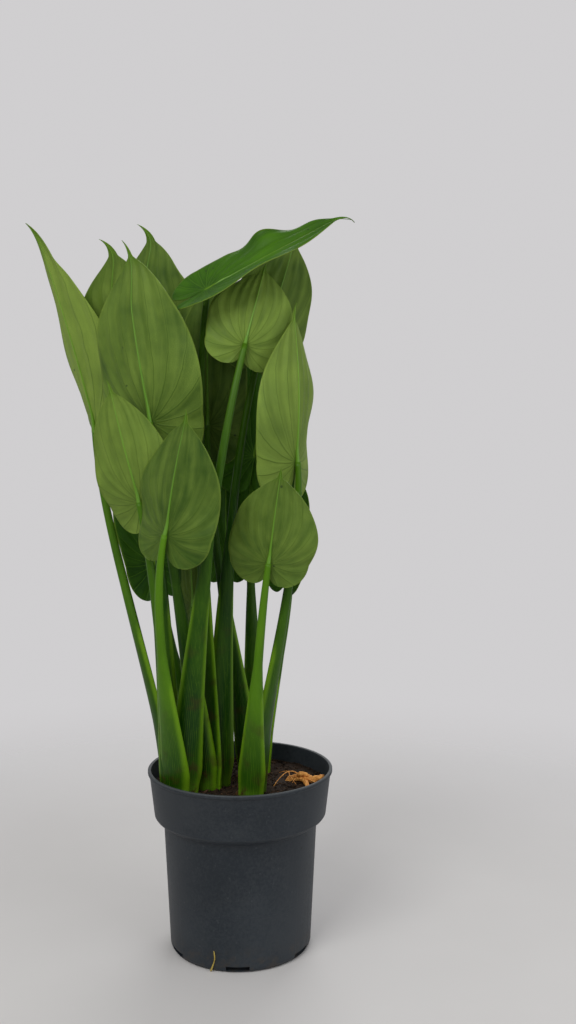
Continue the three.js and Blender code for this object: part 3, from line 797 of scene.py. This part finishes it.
# Pot
def pot_profile():
    """The pot's wall in section, from the middle of the base round over the rim."""
    band_bottom = POT_HEIGHT - BAND_HEIGHT
    step_bottom = band_bottom - STEP_HEIGHT
    foot = POT_BASE_RADIUS + (BODY_TOP_RADIUS - POT_BASE_RADIUS) * HEEL / step_bottom
    inner, outer = BASE_RING
    return [
        (0, BASE_LIFT), (POT_BASE_RADIUS - inner, BASE_LIFT), (POT_BASE_RADIUS - outer, 0),
        (POT_BASE_RADIUS - HEEL, 0), (POT_BASE_RADIUS - HEEL * 0.3, HEEL * 0.3), (foot, HEEL),
        (BODY_TOP_RADIUS, step_bottom), (BAND_BOTTOM_RADIUS - 2, band_bottom - 1),
        (BAND_BOTTOM_RADIUS, band_bottom + 2),
        (POT_TOP_RADIUS - LIP + POT_WALL, POT_HEIGHT - LIP - 2),
        (POT_TOP_RADIUS, POT_HEIGHT - LIP), (POT_TOP_RADIUS, POT_HEIGHT - 1),
        (POT_TOP_RADIUS - 1, POT_HEIGHT), (POT_TOP_RADIUS - LIP, POT_HEIGHT - 0.5),
        (BAND_BOTTOM_RADIUS - POT_WALL, band_bottom + 1),
        (BODY_TOP_RADIUS - POT_WALL, step_bottom + 1), (foot - POT_WALL, HEEL),
        (POT_BASE_RADIUS - HEEL, POT_FLOOR), (0, POT_FLOOR),
    ]


def make_slot_cutter():
    """Low blocks, where the drain slots are cut out of the heel."""
    bm = bmesh.new()
    for i in range(DRAIN_SLOTS):
        block = bmesh.ops.create_cube(bm, size=1)["verts"]
        height = DRAIN_SLOT["to"] - DRAIN_SLOT["from"]
        size = (DRAIN_SLOT["width"] * MM, DRAIN_SLOT["depth"] * MM, height * MM)
        bmesh.ops.scale(bm, vec=size, verts=block)
        middle = (DRAIN_SLOT["to"] + DRAIN_SLOT["from"]) / 2
        bmesh.ops.translate(bm, vec=(0, -POT_BASE_RADIUS * MM, middle * MM), verts=block)
        turn = Quaternion((0, 0, 1), i * math.tau / DRAIN_SLOTS).to_matrix()
        bmesh.ops.rotate(bm, cent=(0, 0, 0), matrix=turn, verts=block)
    return new_object("slot_cutter", bm)


def make_pot():
    """The wall's section turned round the axis, with the slots cut and the edges softened."""
    bm = bmesh.new()
    verts = [bm.verts.new((radius * MM, 0, height * MM)) for radius, height in pot_profile()]
    edges = [bm.edges.new(ends) for ends in zip(verts, verts[1:])]
    bmesh.ops.spin(bm, geom=verts + edges, cent=(0, 0, 0), axis=(0, 0, 1), angle=math.tau,
                   steps=POT_SIDES, use_merge=True, use_duplicate=False)
    merge(bm)
    bmesh.ops.recalc_face_normals(bm, faces=bm.faces)
    pot = piece("nursery_pot", bm, [pot_plastic], ["pot"])
    cutter = make_slot_cutter()
    cut = pot.modifiers.new("drain slots", "BOOLEAN")
    cut.operation = "DIFFERENCE"
    cut.solver = "EXACT"
    cut.object = cutter
    soften = pot.modifiers.new("soft edges", "BEVEL")
    soften.limit_method = "ANGLE"
    soften.angle_limit = math.radians(SOFT_EDGE["from_angle"])
    soften.width = SOFT_EDGE["width"] * MM
    soften.segments = SOFT_EDGE["steps"]
    graph = bpy.context.evaluated_depsgraph_get()
    shaped = bpy.data.meshes.new_from_object(pot.evaluated_get(graph))
    pot.modifiers.clear()
    pot.data = shaped
    shaped.name = "nursery_pot"
    shaped.shade_smooth()
    shaped.set_sharp_from_angle(angle=math.radians(SHARP_ANGLE))
    bpy.data.objects.remove(cutter)


# Soil
def soil_height(x, y):
    """Height of the soil in metres, at a place in metres."""
    ripple = SOIL_RIPPLE["height"] * math.sin(x / MM / SOIL_RIPPLE["pace_x"] + SOIL_RIPPLE["start"])
    ripple *= math.cos(y / MM / SOIL_RIPPLE["pace_y"])
    rough = sum(height * noise.noise(Vector((x, y, level)) * pace)
                for height, pace, level in SOIL_LUMPS)
    return (SOIL_TOP + ripple + rough) * MM


def make_soil():
    """An uneven top with a side and a bottom inside the pot's band."""
    bm = new_mesh()
    edge = SOIL_EDGE_RADIUS * MM
    low = (BODY_TOP_RADIUS - POT_WALL - 1) * MM
    side_rows = 3

    def top(u, v):
        x, y = polar(edge * v, u * math.tau)
        return Vector((x, y, soil_height(x, y)))

    def side(u, v):
        """From the edge of the top down inside the band, then in along the bottom."""
        row = round(v * side_rows)
        if row == 0:
            return top(u, 1)
        radius = low if row < side_rows else 0
        return Vector((*polar(radius, u * math.tau), (POT_HEIGHT - BAND_HEIGHT) * MM))

    mapped_grid(bm, SOIL_SIDES, SOIL_RINGS, top)
    mapped_grid(bm, SOIL_SIDES, side_rows, side)
    merge(bm)
    bmesh.ops.recalc_face_normals(bm, faces=bm.faces)
    piece("soil_bed", bm, [soil_mix], ["soil"])


def scatter(rng, count, low, high):
    """Places on the soil, with a size for each. Small sizes are commoner."""
    for _ in range(count):
        radius = math.sqrt(rng.random()) * (SOIL_EDGE_RADIUS - LOOSE_INSET) * MM
        x, y = polar(radius, rng.random() * math.tau)
        size = (low + (high - low) * rng.random() ** 3) * MM
        yield Vector((x, y, soil_height(x, y) + size * LOOSE_LIFT)), size


def add_lump(bm, rng, place, size, shape):
    """A small uneven lump, longer one way."""
    verts = bmesh.ops.create_icosphere(bm, subdivisions=1, radius=size)["verts"]
    turn = Quaternion(Vector((rng.random() - 0.5, rng.random() - 0.5, rng.random() - 0.5)),
                      rng.random() * LOOSE_TURN).to_matrix()
    seed = Vector((rng.random() * LOOSE_SEEDS, 0, 0))
    for vert in verts:
        wobble = 1 + LOOSE_ROUGH * noise.noise(vert.co * (LOOSE_PACE / size) + seed)
        vert.co = turn @ Vector((vert.co.x * shape[0], vert.co.y * shape[1],
                                 vert.co.z * shape[2])) * wobble + place


def make_loose_bits():
    rng = random.Random(11)
    for name, bits, material in (("soil_crumbs", CRUMBS, soil_mix), ("soil_bark", BARK_CHIPS, bark)):
        count, sizes, shape = bits
        bm = new_mesh()
        for place, size in scatter(rng, count, *sizes):
            add_lump(bm, rng, place, size, shape)
        piece(name, bm, [material], [])


# Leaf blades
def margin_at(share, drip):
    """Half width of the blade at a share of its length ahead of the joint."""
    if share < WIDEST:
        back = (WIDEST - share) / WIDEST
        return 1 - (1 - WIDTH_AT_JOINT) * back * back
    body_end = BODY_REACH - DRIP_CUT * drip
    along = min(1.0, (share - WIDEST) / (body_end - WIDEST))
    body = (1 - along ** 2) ** BODY_BEND
    tail = drip * min(1.0, (1 - share) / (1 - DRIP_START))
    return math.hypot(body, tail * along)


def blade_row(v, leaf):
    """For v from 0 at the ends of the lobes to 1 at the tip: the distance along the midrib and
    the inner and outer edge of each half."""
    step = v * BLADE_ROWS
    if step < LOBE_ROWS - 0.5:
        turn = step / LOBE_ROWS * math.pi / 2
        full = math.sin(turn)
        inner = LOBE_MIDDLE * (1 - full) ** NOTCH_BENDS.get(leaf["name"], NOTCH_BEND)
        length = LOBE_LENGTHS.get(leaf["name"], LOBE_LENGTH)
        return -length * math.cos(turn), inner, LOBE_MIDDLE + (
            WIDTH_AT_JOINT - LOBE_MIDDLE) * full
    share = min(1.0, (step - LOBE_ROWS) / (BLADE_ROWS - LOBE_ROWS))
    along = share + ROW_SHIFT * math.sin(share * math.pi)
    return along, 0.0, 0.0 if share > LAST_SHARE else margin_at(along, leaf["drip"])


def hook_at(share):
    """How far a hooked tip swings aside before it comes back: 0 at both ends, 1 at most."""
    along = min(1.0, max(0.0, (share - HOOK_START) / (1 - HOOK_START)))
    to_one = 6.75
    return to_one * along * along * (1 - along)


class Midrib:
    """The line of a blade's midrib in its place."""

    def __init__(self, leaf):
        bow = math.radians(leaf["bow"])
        droop = math.radians(TIP_DROOPS.get(leaf["name"], TIP_DROOP))

        def turn_at(share):
            tail = max(0.0, (share - DROOP_START) / (1 - DROOP_START))
            return bow * max(0.0, share) + droop * tail * tail

        line = [Vector((0, 0))]
        for i in range(RIB_STEPS):
            turn = turn_at((i + 0.5) / RIB_STEPS)
            line.append(line[-1] + Vector((math.cos(turn), -math.sin(turn))))
        self.turn_at = turn_at
        self.line = line
        self.tilt = math.atan2(line[-1].y, line[-1].x)
        self.joint = Vector(leaf["joint"]) * MM
        chord = Vector(leaf["tip"]) * MM - self.joint
        self.unit = chord.length / line[-1].length
        self.length = RIB_STEPS * self.unit
        self.ahead = chord.normalized()
        up = Vector(leaf["faces"])
        self.up = (up - self.ahead * up.dot(self.ahead)).normalized()
        self.across = self.ahead.cross(self.up)
        self.twist = math.radians(leaf["twist"])
        self.hook = TIP_HOOKS.get(leaf["name"], 0) * MM

    def at(self, share):
        """The point there, the way the rib runs, the upper side's normal and the way across."""
        turn = self.turn_at(share) + self.tilt
        run = self.ahead * math.cos(turn) - self.up * math.sin(turn)
        normal = self.up * math.cos(turn) + self.ahead * math.sin(turn)
        if share <= 0:
            point = self.joint + run * (share * self.length)
        else:
            at = min(share, NEAR_END) * RIB_STEPS
            step = int(at)
            spot = self.line[step].lerp(self.line[step + 1], at - step) * self.unit
            ahead = spot.x * math.cos(self.tilt) + spot.y * math.sin(self.tilt)
            above = spot.y * math.cos(self.tilt) - spot.x * math.sin(self.tilt)
            point = self.joint + self.ahead * ahead + self.up * above
            point -= self.across * (self.hook * hook_at(share))
        twist = Quaternion(run, self.twist * max(0.0, share))
        return point, run, twist @ normal, twist @ self.across


def strong_wave(name, hand, along):
    """The stronger waves that this margin has ahead of the joint, in blade widths."""
    wave = STRONG_WAVES.get((name, hand))
    if not wave:
        return 0.0
    rise = min(1.0, max(0.0, (along - wave["from"]) / wave["rise"]))
    return wave["height"] * rise * math.sin(along * wave["pace"])


def quilt(across, along):
    """How far the blade swells between its veins, in blade lengths."""
    to_joint = math.hypot(across, along)
    to_tip = math.hypot(across, 1 - along)
    turn = math.atan2(abs(across), along) + math.atan2(abs(across), 1 - along)
    cell = math.sin(math.pi * turn / VEIN_SPACING) ** 2
    return QUILT * VEIN_SPACING * to_joint * to_tip * cell


def rib_radius(share):
    """Radius of the raised midrib on the under side, in millimetres."""
    swell = RIB_SWELL * math.exp(-(share * RIB_SWELL_PACE) ** 2)
    return RIB_TIP_RADIUS + RIB_TAPER * (1 - share) + swell


def add_keel(bm, leaf, rib):
    """The raised midrib, which starts inside the end of the stalk."""
    handles, _ = stalk_route(leaf)
    keel = [curve_at(handles, share)[0] / MM for share in KEEL_START]
    for i in range(1, KEEL_POINTS):
        point, _, normal, _ = rib.at(KEEL_END * i / (KEEL_POINTS - 1))
        keel.append((point - normal * (BLADE_THICKNESS / 2 * MM)) / MM)
    add_tube(bm, keel, rib_radius, KEEL_SIDES, KEEL_STEPS, material=2)


def make_blade(leaf, number):
    """Two thin halves, and the midrib under them."""
    bm = new_mesh()
    rib = Midrib(leaf)
    half_width = leaf["width"] * MM / 2
    curl_radius = leaf["width"] * MM / math.radians(leaf["curl"])
    curl_lift = curl_radius * (1 - math.cos(half_width / curl_radius))

    def across_at(u, v, hand):
        along, inner, outer = blade_row(v, leaf)
        share = u ** COLUMN_CROWD
        return along, hand * half_width * (inner + (outer - inner) * share), share, outer

    for hand in (1, -1):
        def place(u, v):
            along, across, share, outer = across_at(u, v, hand)
            point, _, normal, side = rib.at(along)
            turn = across / curl_radius
            out = normal * math.cos(turn) - side * math.sin(turn)
            phase = along * WAVE_PACE + number * WAVE_SHIFT + hand
            wave = WAVE_HEIGHT * math.sin(phase) + strong_wave(leaf["name"], hand, along)
            wave *= leaf["width"] * MM * share ** 2 * outer
            swell = rib.length * quilt(across / rib.length, along) * (1 - share ** QUILT_FADE)
            spot = point + side * (curl_radius * math.sin(turn))
            lift = curl_radius * (1 - math.cos(turn))
            reach = abs(across) / half_width
            lift += CREASE * curl_lift * reach * max(0.0, 1 - reach)
            return spot + normal * lift + out * (wave + swell)

        def flat(u, v):
            along, across, _, _ = across_at(u, v, hand)
            return across / rib.length, along

        mapped_grid(bm, HALF_COLUMNS, BLADE_ROWS, place, flat, lambda u, v: u, hand < 0)
    merge(bm)
    upper = list(bm.faces)
    for vert in bm.verts:
        vert.normal_update()
    for vert in bm.verts:
        vert.co += vert.normal * (BLADE_THICKNESS * MM / 2)
    bmesh.ops.solidify(bm, geom=upper, thickness=BLADE_THICKNESS * MM)
    kept = set(upper)
    for face in bm.faces:
        if face not in kept:
            face.material_index = 1
    add_keel(bm, leaf, rib)
    merge(bm)
    set_tone(bm, bm.verts, leaf["tone"])
    piece("blade_" + leaf["name"], bm, [upper_side, under_side, midrib_skin],
          ["leaf_" + leaf["name"]])


# Shoots
def stalk_route(leaf):
    """The four handles of the stalk's curve, and the way its back faces."""
    joint, run, normal, _ = Midrib(leaf).at(0)
    nod = math.radians(leaf["nod"])
    end = run * math.cos(nod) + normal * math.sin(nod)
    clear = BLADE_THICKNESS / 2 + STALK_TOP_RADIUS * math.cos(nod) * STALK_CLEAR
    top = joint - normal * (clear * MM)
    x, y = SHOOTS[leaf["shoot"]]
    shoot = Vector((x, y, 0)) * MM
    away = Vector((joint.x - shoot.x, joint.y - shoot.y, 0)).normalized()
    foot = shoot + Vector((0, 0, (SOIL_TOP + STALK_FOOT) * MM))
    foot += away * (STEM_RADIUS * FOOT_SPREAD * MM)
    rise = top - foot
    lift = foot + rise * LIFT_LEAN + Vector((0, 0, rise.length * LIFT_UP))
    return (foot, lift, top - end * (rise.length * APPROACH), top), -normal


def curve_at(handles, share):
    """A point on the curve and the way it runs there."""
    a, b, c, d = handles
    rest = 1 - share
    point = a * rest ** 3 + b * (3 * rest ** 2 * share) + c * (3 * rest * share ** 2) + d * share ** 3
    run = (b - a) * rest ** 2 + (c - b) * (2 * rest * share) + (d - c) * share ** 2
    return point, run.normalized()


def add_stalk(bm, leaf):
    """A round stalk that widens to a hollow sheath towards its foot in the soil."""
    handles, back = stalk_route(leaf)
    length = (handles[3] - handles[0]).length / MM

    def share_at(v):
        return min(1.0, max(0.0, (v * STALK_STEPS - FOOT_ROWS) / (STALK_STEPS - FOOT_ROWS - 1)))

    def place(u, v):
        share = share_at(v)
        point, run = curve_at(handles, share)
        if v * STALK_STEPS < FOOT_ROWS - 0.5:
            point = point - run * (FOOT_DEPTH * MM)
        outside = (back - run * back.dot(run)).normalized()
        side = run.cross(outside)
        sheath = max(0.0, 1 - share / SHEATH_SHARE)
        slim = STALK_RADIUS + (STALK_TOP_RADIUS - STALK_RADIUS) * share ** 3
        rise = min(1.0, share * length / FOOT_REACH)
        foot = FOOT_WIDTH + (1 - FOOT_WIDTH) * rise * rise * (3 - 2 * rise)
        half = slim + (leaf["sheath"] / 2 - slim) * sheath * foot
        depth = slim + (SHEATH_THICKNESS / 2 - slim) * sheath
        turn = u * math.tau
        outward = math.cos(turn)
        hollow = 1 if outward > 0 else 1 - SHEATH_HOLLOW * sheath
        end = 0 if on_pole(v, STALK_STEPS) else MM
        if outward > 0:
            depth += FOOT_SWELL * max(0.0, 1 - share / FOOT_SWELL_END)
        spot = point + outside * (depth * outward * hollow * end)
        return spot + side * (half * math.sin(turn) * end)

    def rim(u, v):
        sheath = max(0.0, 1 - share_at(v) / SHEATH_SHARE)
        return abs(math.sin(u * math.tau)) * min(1.0, sheath * 4)

    verts = mapped_grid(bm, STALK_SIDES, STALK_STEPS, place, lambda u, v: (u, share_at(v)), rim)
    set_tone(bm, verts, leaf["stalk_tone"])


def make_shoot(name):
    """A short domed stem and the stalks that grow from it, as one piece."""
    bm = new_mesh()
    x, y = SHOOTS[name]

    def stem(u, v):
        turn = u * math.tau
        bend = max(0.0, v - STEM_SHOULDER) / (1 - STEM_SHOULDER) * math.pi / 2
        radius = 0 if on_pole(v, STEM_ROWS) else (STEM_RADIUS - STEM_INSET) * math.cos(bend)
        radius *= 1 + STEM_ROUGH * noise.noise(Vector((*polar(2, turn), v * 3 + x)))
        height = SOIL_TOP - STEM_SINK + (STEM_DOME + STEM_RISE) * math.sin(v * math.pi / 2)
        return Vector((x + radius * math.cos(turn), y + radius * math.sin(turn), height)) * MM

    mapped_grid(bm, STEM_SIDES, STEM_ROWS, stem, lambda u, v: (u, STEM_MARK))
    for leaf in leaves:
        if leaf["shoot"] == name:
            add_stalk(bm, leaf)
    merge(bm)
    piece("stalks_" + name, bm, [stalk_skin], ["shoot_" + name])


# Roots
def blend_radii(radii, share):
    """The radius at a share of a root's length, between those given."""
    at = min(share, LAST_SHARE) * (len(radii) - 1)
    step = int(at)
    return radii[step] + (radii[step + 1] - radii[step]) * (at - step)


def on_soil(route):
    return [(x, y, SOIL_TOP + height) for x, y, height in route]


def taper(first, last):
    """The radius of a tube that thins evenly, at a share of its length."""
    return lambda share: first - (first - last) * share


def wisp_route(rng):
    """The start, bend and end of a short wisp, somewhere on the thick root."""
    share = rng.random()
    (from_x, from_y), (to_x, to_y) = WISPS["from"], WISPS["to"]
    x = from_x + share * (to_x - from_x)
    y = from_y + share * (to_y - from_y) + rng.random() * WISPS["spread"] - WISPS["spread"] / 2
    start = Vector((x, y, SOIL_TOP + WISPS["above"]))
    heading = rng.random() * math.tau
    reach = WISPS["short"] + rng.random() * (WISPS["long"] - WISPS["short"])
    middle = start + Vector((*polar(1, heading), WISPS["rise"])) * (reach / 2)
    heading += WISPS["bend"]
    end = middle + Vector((*polar(1, heading), WISPS["fall"])) * (reach / 2)
    end.x = min(end.x, WISPS["end_x"])
    return [start, middle, end]


def make_roots():
    """The thick root with its wisps on the soil, and the thin one at the pot's foot."""
    rng = random.Random(5)
    bm = new_mesh()
    for root in THICK_ROOTS:
        radii = root["radii"]
        add_tube(bm, on_soil(root["route"]), lambda share: blend_radii(radii, share),
                 sides=20, steps=60, lumps=0.35)
    add_tube(bm, on_soil(LONG_WISP), taper(*LONG_WISP_RADII), sides=8, steps=30, lumps=0.2)
    for _ in range(WISPS["count"]):
        add_tube(bm, wisp_route(rng), taper(*WISPS["radii"]), sides=8, steps=14, lumps=0.3)
    merge(bm)
    piece("surface_root_fine", bm, [root_skin], ["surface_root"])
    bm = new_mesh()
    add_tube(bm, DRAIN_ROOT, taper(*DRAIN_ROOT_RADII), sides=12, steps=40, lumps=0.4)
    merge(bm)
    piece("drain_root_fine", bm, [thin_root_skin], ["drain_root"])


leaves = [dict(zip(LEAF_COLUMNS, row)) for row in LEAVES]
make_pot()
make_soil()
make_loose_bits()
for shoot in SHOOTS:
    make_shoot(shoot)
for count, row in enumerate(leaves):
    make_blade(row, count)
make_roots()


# Floor, light and camera
def make_floor():
    """A round floor that fades out into the plain backdrop."""
    bm = bmesh.new()
    bmesh.ops.create_circle(bm, cap_ends=True, segments=64, radius=FLOOR_RADIUS)
    made, tree, place = new_material("pale_floor")
    colour = mix(tree, speckle(tree, place, 3, 3), FLOOR_DARK, FLOOR_LIGHT)
    solid = remap(tree, length_of(tree, place), FADE_START, FADE_END, 1, 0)
    shader = tree.nodes["Principled BSDF"]
    tree.links.new(colour, shader.inputs["Base Color"])
    tree.links.new(solid, shader.inputs["Alpha"])
    shader.inputs["Roughness"].default_value = 0.7
    floor = new_object("floor", bm, [made])


def soft_light(name, place, size, power, colour):
    """A square lamp that faces the middle of the plant."""
    lamp = bpy.data.lights.new(name, "AREA")
    lamp.size = size
    lamp.energy = power
    lamp.color = colour
    made = link_object(name, lamp)
    made.location = place
    aim = Vector(LIGHT_AIM) - Vector(place)
    made.rotation_euler = aim.to_track_quat("-Z", "Y").to_euler()


def make_world():
    """A plain backdrop that looks brighter than the light that it gives."""
    world = bpy.data.worlds.new("studio")
    world.use_nodes = True
    tree = world.node_tree
    backdrop = tree.nodes["Background"]
    backdrop.inputs["Color"].default_value = BACKDROP
    seen = node(tree, "LightPath").outputs["Is Camera Ray"]
    strength = calc(tree, "MULTIPLY_ADD", seen, BACKDROP_SEEN - BACKDROP_LIGHT, BACKDROP_LIGHT)
    tree.links.new(strength, backdrop.inputs["Strength"])
    bpy.context.scene.world = world
    bpy.context.scene.view_settings.view_transform = "Standard"


def make_camera():
    """A camera where the photograph was taken from, tilted down a little."""
    lens = bpy.data.cameras.new("camera")
    lens.lens = CAMERA_LENS
    lens.sensor_width = CAMERA_SENSOR
    camera = link_object("camera", lens)
    camera.location = CAMERA_PLACE
    camera.rotation_euler = (math.radians(90 + CAMERA_TILT), 0, 0)
    bpy.context.scene.camera = camera


make_floor()
make_world()
for light in LIGHTS:
    soft_light(*light)
make_camera()
